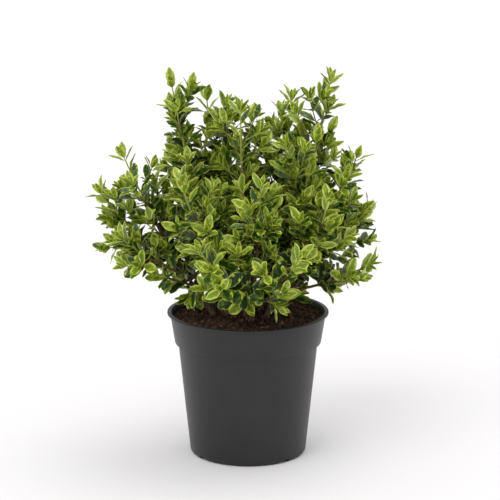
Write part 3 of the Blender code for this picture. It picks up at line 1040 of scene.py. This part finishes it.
@dataclass
class Mass:
    """One mass of foliage: its leading shoot with twigs and leaves."""

    limb: Limb
    space: Space
    rule: Growth
    leaves: Leaves
    twigs: MeshBatch

    def __post_init__(self) -> None:
        """Seed the draws by the leader's name, and tell how low the mass is, from 0 to 1."""
        self.rng = random.Random(f"{self.limb.leader.name} {SEED}")
        self.low_share = clamp((self.rule.girth_top - self.limb.leader.z) / self.rule.girth_drop)

    def cross(self, heading: Array, turn: float) -> Array:
        """A unit direction square to a heading: side cos t + (heading x side) sin t.

        Args:
            heading: The heading.
            turn: The turn about it.

        Returns:
            The direction.
        """
        side = np.cross(heading, UP)
        if np.linalg.norm(side) < 0.05:
            side = np.cross(heading, np.array((1.0, 0.0, 0.0)))
        side = unit(side)
        return side * math.cos(turn) + np.cross(heading, side) * math.sin(turn)

    def sway(self, angle: float) -> float:
        """The angle with a random lean."""
        return angle + math.radians(self.rng.uniform(-self.rule.sway, self.rule.sway))

    def tone(self, age: float) -> Tone:
        """A tone for an age.

        Args:
            age: From 0, the very tip, to 1.

        Returns:
            The tone.
        """
        drawn = age + self.rng.uniform(-self.rule.tone_wander, self.rule.tone_wander)
        if drawn < self.rule.young_until:
            return Tone.YOUNG
        return Tone.FRESH if drawn < self.rule.fresh_until else Tone.DEEP

    def leaf_size(self, age: float) -> float:
        """A leaf's length: smallest at a shoot's tip, full grown some way down, and larger low down."""
        grown = between(self.rule.small_leaf, 1.0, min(1.0, age * self.rule.full_grown))
        return self.rule.leaf_length * grown * (1.0 + self.rule.girth_gain * self.low_share)

    def pair(
        self, place: Array, heading: Array, turn: float, angle: float, length: float, age: float
    ) -> None:
        """Two opposite leaves, each where it has room.

        Args:
            place: The node that they leave.
            heading: The way the shoot runs there.
            turn: The turn of the pair about the shoot.
            angle: How far the leaves stand off the shoot.
            length: A leaf's length.
            age: From 0, the very tip, to 1.
        """
        rule = self.rule
        outward = self.cross(heading, turn)
        for side in (outward, -outward):
            lean = self.sway(angle)
            size = length * self.rng.uniform(*rule.leaf_sizes)
            along = unit(heading * math.cos(lean) + side * math.sin(lean) + UP * rule.leaf_lift)
            face = unit(heading * math.sin(lean) - side * math.cos(lean))
            twist = self.cross(along, self.rng.uniform(0.0, math.tau)) * rule.leaf_twist
            face = unit(face - along * float(face @ along) + twist)
            face = unit(face - along * float(face @ along))
            middle = place + along * size * rule.blade_middle
            if self.space.room(np.array((middle, place + along * size))) < rule.slack:
                continue
            if not rule.free(middle):
                continue
            point = clamp(rule.tip_point - rule.age_round * age - rule.low_round * self.low_share)
            share = between(rule.leaf_share, rule.young_share, point)
            width = size * share * self.rng.uniform(*rule.leaf_widths)
            bend = self.rng.uniform(*rule.leaf_bends) * (rule.young_bend + age)
            self.leaves.add(place, along, face, (size, width), bend, point, self.tone(age))

    def twig(self, place: Array, heading: Array, outward: Array, longest: float, order: int) -> None:
        """A side twig as long as its space allows, with its own pairs, and twigs on it.

        Args:
            place: The node that it leaves.
            heading: The way the shoot runs there.
            outward: The direction square to the shoot that it leans to.
            longest: The greatest length, before it wanders.
            order: How many orders of twigs are left, this one among them.
        """
        rule = self.rule
        lean = self.sway(rule.twig_angle)
        low = self.limb.leader.tier == "skirt" or place[2] < rule.low
        lift = UP * (rule.droop if low else rule.rise)
        out = unit(heading * math.cos(lean) + outward * math.sin(lean) + lift)
        length = longest * self.rng.uniform(*rule.twig_lengths)
        while length > rule.twig_shortest:
            if self.space.room(place + out * (length + rule.twig_margin)) >= 0.0:
                break
            length -= rule.twig_step
        if length <= rule.twig_shortest:
            return
        end = unit(out + UP * (rule.droop_end if low else rule.rise_end))
        twig = Twig(place, out, end, length, rule.twig_bend)
        path = twig.at(np.linspace(0.0, 1.0, rule.twig_rings)[:, None])
        radii = rule.twig_radius * np.linspace(1.0, rule.twig_taper, rule.twig_rings)
        self.twigs.add(*tube(path, radii, rule.twig_sides), 0 if order > 1 else 1)
        nodes = max(2, round(length / rule.internode))
        spin = self.rng.uniform(0.0, math.tau)
        for node in range(1, nodes + 1):
            share = node / nodes
            spot = twig.at(share)
            age = (1.0 - share) * length / rule.twig_age
            angle = between(rule.leaf_angle, rule.tip_angle, share ** 3)
            turn = spin + math.pi / 2 * node
            size = self.leaf_size(age) * rule.twig_leaf
            self.pair(spot, end, turn, angle, size, min(1.0, age + rule.twig_youngest))
            if order > 1 and node < nodes and self.rng.random() < rule.fork_chance:
                across = self.cross(end, turn + math.pi / 2 * self.rng.choice((0, 1)))
                self.twig(spot, end, across, length * rule.fork_length, order - 1)
        self.tuft(twig.at(1.0), end, spin)

    def tuft(self, place: Array, heading: Array, spin: float) -> None:
        """A rosette that closes a shoot's tip: an outer pair that spreads and an inner one that stands up.

        Args:
            place: The tip.
            heading: The way the shoot runs there.
            spin: The turn of the outer pair.
        """
        rule = self.rule
        for index in range(2 * len(rule.tuft)):
            pair = rule.tuft[index // 2]
            outward = self.cross(heading, spin + math.pi * index + pair.turn)
            lean = math.radians(self.rng.uniform(*pair.lean))
            along = unit(heading * math.cos(lean) + outward * math.sin(lean))
            face = unit(heading * math.sin(lean) - outward * math.cos(lean))
            length = rule.leaf_length * pair.size * self.rng.uniform(*rule.tuft_sizes)
            size = (length, length * rule.young_share)
            root = place - heading * pair.seat
            self.leaves.add(root, along, face, size, rule.tuft_bend, rule.tuft_point, Tone.YOUNG)

    def grow(self) -> None:
        """Grow the leading shoot, its pairs and its twigs from the tip down."""
        rule = self.rule
        length = self.limb.length()
        last = 1.0 - rule.leaf_length * rule.tip_room / length
        path = self.limb.at(np.linspace(rule.shoot_from, last, rule.shoot_rings))
        radii = np.linspace(rule.shoot_radius, rule.shoot_radius * rule.shoot_taper, rule.shoot_rings)
        self.twigs.add(*tube(path, radii, rule.shoot_sides), 1)
        spin = self.rng.uniform(0.0, math.tau)
        nodes = round((last - rule.first_leaf) * length / rule.internode)
        for node in range(nodes, 0, -1):
            share = rule.first_leaf + (last - rule.first_leaf) * node / nodes
            down = (last - share) * length
            age = min(1.0, down / rule.shoot_age)
            place = self.limb.at(share)
            heading = self.limb.heading(share)
            turn = spin + math.pi / 2 * node
            angle = between(rule.tip_angle, rule.leaf_angle, min(1.0, down / rule.tip_stretch))
            self.pair(place, heading, turn, angle, self.leaf_size(age), age)
            if down > rule.bare_tip:
                longest = min(rule.twig_length, rule.twig_start + down * rule.twig_gain)
                outward = self.cross(heading, turn)
                for side in (outward, -outward):
                    if self.rng.random() < rule.twig_chance:
                        self.twig(place, heading, side, longest, 2)
        self.tuft(self.limb.at(last), self.limb.heading(last), spin)


@dataclass
class Foliage:
    """All masses, joined tier by tier into leaves and twigs."""

    limbs: Sequence[Limb]
    rule: Growth = field(default_factory=Growth)
    shape: LeafShape = field(default_factory=LeafShape)
    twig_colours: Tuple[Colour, ...] = (srgb(120, 112, 50), srgb(150, 158, 66))

    def dress(self) -> List[bpy.types.Object]:
        """Grow every mass and build two objects to a tier.

        Returns:
            The objects.
        """
        blade_finishes = [finish.make() for tone in Tone for finish in LEAF_FINISHES[tone]]
        skins = [PlainFinish(f"twig_{i}", colour, 0.5).make() for i, colour in enumerate(self.twig_colours)]
        rng = np.random.default_rng(SEED)
        pieces = []
        for tier in dict.fromkeys(lead.tier for lead in LEADERS):
            leaves = Leaves()
            twigs = MeshBatch()
            chosen = [limb for limb in self.limbs if limb.leader.tier == tier]
            for limb in chosen:
                others = [other for other in self.limbs if other is not limb]
                Mass(limb, Space(limb, others), self.rule, leaves, twigs).grow()
            leaves.finish()
            blades = MeshBatch()
            blades.add(*self.shape.mesh(leaves, rng))
            nodes = [f"foliage_{limb.leader.name}" for limb in chosen]
            pieces.append(dressed(blades.build(f"leaves_{tier}", blade_finishes), nodes))
            pieces.append(dressed(twigs.build(f"twigs_{tier}", skins), nodes))
            LOG.info("%s: %d leaves", tier, len(leaves.rows))
        return pieces


# Pot and soil


@dataclass
class Pot:
    """The nursery pot: a turned shell with rounded lip and band, and drain slots cut through its foot."""

    height: float = 0.171
    wall: float = 0.0017
    steps: int = 160
    lip_radius: float = 0.095
    lip_depth: float = 0.0024
    lip_round: float = 0.0009
    lip_edge: Range = (0.0006, 0.0005)
    band_top: float = 0.0915
    band_foot: float = 0.0862
    band_foot_height: float = 0.134
    band_round: Tuple[Range, ...] = ((0.0001, 0.0009), (-0.0003, 0.0002), (-0.0010, 0.0))
    cove: float = 0.0008
    wall_top: float = 0.0822
    wall_foot: float = 0.0688
    foot: float = 0.0640
    foot_ring: float = 0.0060
    foot_lift: float = 0.0035
    foot_draft: float = 0.0005
    boss: float = 0.0140
    corner: float = 0.0050
    floor: float = 0.0020
    floor_corner: float = 0.003
    drains: int = 4
    drain_turn: float = math.radians(39.0)
    drain_width: float = 0.0130
    drain_over: float = 0.004
    drain_rise: float = 0.0016
    drain_drop: float = 0.001
    drain_hole: float = 0.0045
    drain_place: float = 0.0500
    sharp: float = math.radians(34.0)

    def profile(self) -> Array:
        """Radius and height from the inner floor's middle, over the lip and down under the foot.

        The lip's top and the wall's foot are quarter arcs: middle + radius (sin a, cos a).

        Returns:
            One radius and height to a row.
        """
        inner = self.foot_lift + self.floor
        under_lip = self.height - self.lip_depth
        arc = np.linspace(0.0, math.pi / 2, 5)
        lip_middle = np.array((self.lip_radius - self.lip_round, self.height - self.lip_round))
        lip = [lip_middle + np.array((math.sin(a), math.cos(a))) * self.lip_round for a in arc]
        toe = self.wall_foot - self.foot
        corner = [(self.foot + toe * math.cos(a), self.corner * (1.0 - math.sin(a))) for a in arc]
        band_foot = [(self.band_foot + out, self.band_foot_height + up) for out, up in self.band_round]
        rows = [
            (0.0, inner),
            (self.wall_foot - self.wall - self.floor_corner, inner),
            (self.wall_foot - self.wall, inner + self.floor_corner),
            (self.wall_top - self.wall, self.band_foot_height + self.wall),
            (self.band_foot - self.wall, self.band_foot_height + self.wall),
            (self.band_top - self.wall, under_lip),
            (self.band_top - self.wall + self.lip_edge[0], self.height),
            *lip,
            (self.lip_radius, under_lip + self.lip_edge[1]),
            (self.lip_radius - self.lip_edge[0], under_lip),
            (self.band_top + self.cove, under_lip),
            (self.band_top, under_lip - self.cove),
            *band_foot,
            (self.wall_top + self.cove, self.band_foot_height),
            (self.wall_top, self.band_foot_height - self.cove),
            *corner,
            (self.foot - self.foot_ring, 0.0),
            (self.foot - self.foot_ring - self.foot_draft, self.foot_lift),
            (self.boss + self.foot_draft, self.foot_lift),
            (self.boss, 0.0),
            (0.0, 0.0),
        ]
        return np.array(rows)

    def cutter(
        self, size: Tuple[float, float, float], middle: Array, turn: float, sides: int
    ) -> bpy.types.Object:
        """A box or a drum to cut with: a ring below and one above, turned about Z.

        Args:
            size: Its three sides.
            middle: Its middle before it is turned.
            turn: The turn about Z.
            sides: Vertices round it: four make the box.

        Returns:
            The cutter.
        """
        box = sides == 4
        angle = np.linspace(0.0, math.tau, sides, endpoint=False) + (math.pi / 4 if box else 0.0)
        scale = math.sqrt(2.0) if box else 1.0
        across, deep, high = size
        ring = np.stack(
            (np.cos(angle) * across / 2 * scale, np.sin(angle) * deep / 2 * scale, angle * 0.0), 1
        )
        points = np.concatenate((ring - UP * high / 2, ring + UP * high / 2)) + middle
        cos, sin = math.cos(turn), math.sin(turn)
        points = points @ np.array(((cos, sin, 0.0), (-sin, cos, 0.0), (0.0, 0.0, 1.0)))
        walls = grid_faces(2, sides, True).tolist()
        caps = [list(range(sides))[::-1], list(range(sides, 2 * sides))]
        mesh = bpy.data.meshes.new("drain_cutter")
        mesh.from_pydata(points.tolist(), [], walls + caps)
        return place_in_scene("drain_cutter", mesh)

    def drain_cutters(self) -> List[bpy.types.Object]:
        """A slot under the wall's foot and a hole in the floor for each drain.

        Returns:
            The cutters.
        """
        start = self.foot - self.foot_ring - self.drain_over
        end = self.wall_foot + self.drain_over
        slot = (end - start, self.drain_width, self.foot_lift + self.drain_rise)
        slot_middle = np.array(((start + end) / 2, 0.0, self.foot_lift / 2 - self.drain_drop))
        hole = (self.drain_hole * 2, self.drain_hole * 2, self.floor * 3)
        hole_middle = np.array((self.drain_place, 0.0, self.foot_lift + self.floor / 2))
        cutters = []
        for index in range(self.drains):
            turn = self.drain_turn - math.pi / 2 + index * math.tau / self.drains
            cutters.append(self.cutter(slot, slot_middle, turn, 4))
            cutters.append(self.cutter(hole, hole_middle, turn, 24))
        return cutters

    def dress(self) -> bpy.types.Object:
        """Turn the profile, (r cos t, r sin t, z), then cut the drain slots and holes.

        Returns:
            The pot.
        """
        profile = self.profile()
        turn = np.linspace(0.0, math.tau, self.steps, endpoint=False)
        radius, height = profile[1:-1, :1], profile[1:-1, 1:]
        level = np.broadcast_to(height, (len(height), self.steps))
        shell = np.stack((radius * np.cos(turn), radius * np.sin(turn), level), axis=-1).reshape(-1, 3)
        poles = np.array(((0.0, 0.0, profile[0, 1]), (0.0, 0.0, profile[-1, 1])))
        batch = MeshBatch()
        batch.add(np.concatenate((shell, poles)), shell_faces(len(height), self.steps, inside_first=True))
        made = batch.build("pot_shell", [PotFinish().make()])
        cutters = self.drain_cutters()
        for tool in cutters:
            cut = made.modifiers.new("drain", "BOOLEAN")
            cut.operation = "DIFFERENCE"
            cut.object = tool
        apply_modifiers(made)
        for tool in cutters:
            bpy.data.objects.remove(tool)
        shade_by_angle(made, self.sharp)
        return dressed(made, ["pot"])


def apply_modifiers(made: bpy.types.Object) -> None:
    """Apply every modifier of an object to its mesh.

    Args:
        made: The object.
    """
    graph = bpy.context.evaluated_depsgraph_get()
    mesh = bpy.data.meshes.new_from_object(made.evaluated_get(graph))
    made.modifiers.clear()
    made.data = mesh


def shade_by_angle(made: bpy.types.Object, angle: float) -> None:
    """Shade smooth, with edges sharper than the angle kept."""
    with bpy.context.temp_override(object=made, active_object=made, selected_editable_objects=[made]):
        bpy.ops.object.shade_smooth_by_angle(angle=angle)


@dataclass
class Soil:
    """The soil: a rough bed that follows the pot's inside, with loose crumbs on it."""

    top: float = 0.1656
    edge: float = 0.1640
    depth: float = 0.004
    flat: float = 0.0600
    radius: float = 0.0890
    inner_ring: float = 0.0006
    roughness: float = 0.00035
    rows: int = 46
    steps: int = 140
    crumbs: int = 2600
    crumb_sizes: Range = (0.0007, 0.0028)
    crumb_bias: float = 2.6
    crumb_gap: float = 0.0035
    crumb_lift: float = 0.35
    crumb_stretch: Range = (0.6, 1.25)
    crumb_wander: float = 0.18
    crumb_tones: Tuple[Tuple[Colour, float], ...] = (
        (srgb(58, 38, 25), 0.42),
        (srgb(96, 64, 42), 0.30),
        (srgb(130, 88, 56), 0.10),
        (srgb(30, 20, 14), 0.18),
    )

    def level(self, radius: Array) -> Array:
        """The bed's height at a radius: level in the middle and lower at the wall."""
        share = np.clip((radius - self.flat) / (self.radius - self.flat), 0.0, 1.0)
        return between(self.top, self.edge, share)

    def dress(self) -> List[bpy.types.Object]:
        """The bed and the crumbs.

        Returns:
            The two objects.
        """
        rng = np.random.default_rng(SEED)
        return [self.bed(rng), self.scatter(rng)]

    def bed(self, rng: np.random.Generator) -> bpy.types.Object:
        """The bed: (r cos t, r sin t, level(r) + noise), with a short wall and a flat underside.

        Args:
            rng: Random draws for the noise.

        Returns:
            The bed.
        """
        radius = np.linspace(self.inner_ring, self.radius, self.rows)[:, None]
        turn = np.linspace(0.0, math.tau, self.steps, endpoint=False)[None, :]
        height = self.level(radius) + rng.normal(0.0, self.roughness, (self.rows, self.steps))
        top = np.stack((radius * np.cos(turn), radius * np.sin(turn), height), axis=-1).reshape(-1, 3)
        base = self.edge - self.depth
        wall = top[-self.steps:] * LEVEL + UP * base
        poles = np.array(((0.0, 0.0, self.top), (0.0, 0.0, base)))
        batch = MeshBatch()
        faces = shell_faces(self.rows + 1, self.steps, inside_first=True)
        batch.add(np.concatenate((top, wall, poles)), faces)
        return dressed(batch.build("soil_bed", [SoilFinish().make()]), ["soil"])

    def scatter(self, rng: np.random.Generator) -> bpy.types.Object:
        """Crumbs: octahedra, middle + corner x stretch x size + noise, partly sunk into the bed.

        Args:
            rng: Random draws for places, sizes, shapes and colours.

        Returns:
            The crumbs as one object.
        """
        corners = np.array(((1, 0, 0), (0, 1, 0), (-1, 0, 0), (0, -1, 0), (0, 0, 1), (0, 0, -1)), float)
        cells = [(a, (a + 1) % 4, 4, 4) for a in range(4)] + [((a + 1) % 4, a, 5, 5) for a in range(4)]
        colours, shares = zip(*self.crumb_tones)
        far = np.sqrt(rng.random(self.crumbs)) * (self.radius - self.crumb_gap)
        turn = rng.random(self.crumbs) * math.tau
        size = between(*self.crumb_sizes, rng.random(self.crumbs) ** self.crumb_bias)
        height = self.level(far) + size * self.crumb_lift
        middle = np.stack((far * np.cos(turn), far * np.sin(turn), height), axis=-1)
        size = size[:, None, None]
        stretch = rng.uniform(*self.crumb_stretch, (self.crumbs, len(corners), 3))
        points = middle[:, None] + corners[None] * stretch * size
        points += rng.normal(0.0, self.crumb_wander, points.shape) * size
        first = (np.arange(self.crumbs) * len(corners))[:, None, None]
        tone = rng.choice(len(colours), self.crumbs, p=shares)
        batch = MeshBatch()
        batch.add(points, (np.array(cells)[None] + first).reshape(-1, 4), np.repeat(tone, len(cells)))
        finishes = [PlainFinish(f"crumb_{i}", colour, 0.95).make() for i, colour in enumerate(colours)]
        return dressed(batch.build("soil_crumbs", finishes, smooth=False), ["soil"])


# Stage


@dataclass
class Studio:
    """Pale floor, soft light and the camera at the photograph's viewing angle."""

    camera_place: Tuple[float, float, float] = (0.00235, -2.56, 0.842)
    pitch: float = math.radians(13.15)
    lens: float = 161.8
    sensor: float = 36.0
    far_clip: float = 60.0
    floor_size: float = 24.0
    floor_colour: Colour = (0.875, 0.86, 0.867)
    world_strength: float = 0.86
    sun_spread: float = math.radians(40.0)
    key_from: Tuple[float, float, float] = (-1.3, -1.7, 2.3)
    key_strength: float = 0.85
    crown_from: Tuple[float, float, float] = (0.6, 0.5, 2.4)
    crown_strength: float = 0.55

    def build(self) -> None:
        """Make floor, world, lights and camera."""
        view = bpy.context.scene.view_settings
        view.view_transform = "Standard"
        view.look = "None"
        self.camera()
        self.floor()
        self.world()
        self.sun("key", self.key_from, self.key_strength)
        self.sun("crown", self.crown_from, self.crown_strength)

    def camera(self) -> None:
        """A long lens that looks down a little on the plant's front."""
        camera = bpy.data.cameras.new("camera")
        camera.lens = self.lens
        camera.sensor_width = self.sensor
        camera.clip_end = self.far_clip
        eye = place_in_scene("camera", camera)
        eye.location = self.camera_place
        eye.rotation_euler = (math.pi / 2 - self.pitch, 0.0, 0.0)
        bpy.context.scene.camera = eye

    def floor(self) -> None:
        """A plain pale floor, level with the pot's foot."""
        half = self.floor_size / 2
        corners = [(-half, -half, 0.0), (half, -half, 0.0), (half, half, 0.0), (-half, half, 0.0)]
        mesh = bpy.data.meshes.new("floor")
        mesh.from_pydata(corners, [], [(0, 1, 2, 3)])
        shader = Shader("floor_paper")
        shader.set(Base_Color=self.floor_colour, Roughness=0.9, Specular_IOR_Level=0.1)
        mesh.materials.append(shader.material)
        place_in_scene("floor", mesh)

    def world(self) -> None:
        """An even white surround."""
        world = bpy.data.worlds.new("surround")
        world.use_nodes = True
        back = world.node_tree.nodes["Background"]
        back.inputs["Color"].default_value = (1.0, 1.0, 1.0, 1.0)
        back.inputs["Strength"].default_value = self.world_strength
        bpy.context.scene.world = world

    def sun(self, name: str, place: Tuple[float, float, float], strength: float) -> None:
        """A broad soft light from a direction, the same all over the floor.

        Args:
            name: The light's name.
            place: Where it comes from, seen from the origin.
            strength: How strong it is.
        """
        lamp = bpy.data.lights.new(name, "SUN")
        lamp.angle = self.sun_spread
        lamp.energy = strength
        away = unit(np.array(place))
        made = place_in_scene(name, lamp)
        made.rotation_euler = (math.acos(away[2]), 0.0, math.atan2(away[1], away[0]) + math.pi / 2)


def main() -> None:
    """Load the frame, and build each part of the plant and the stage."""
    logging.basicConfig(level=logging.INFO, format="%(message)s")
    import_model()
    Studio().build()
    limbs = Limbs()
    course = limbs.grow()
    pieces: List[bpy.types.Object] = [Pot().dress()]
    pieces += Soil().dress()
    pieces += limbs.dress(course, BarkFinish().make())
    pieces += Foliage(course).dress()
    for piece in pieces:
        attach(piece, "root")
        LOG.info("%s: %d faces", piece.name, len(piece.data.polygons))


if __name__ == "__main__":
    main()
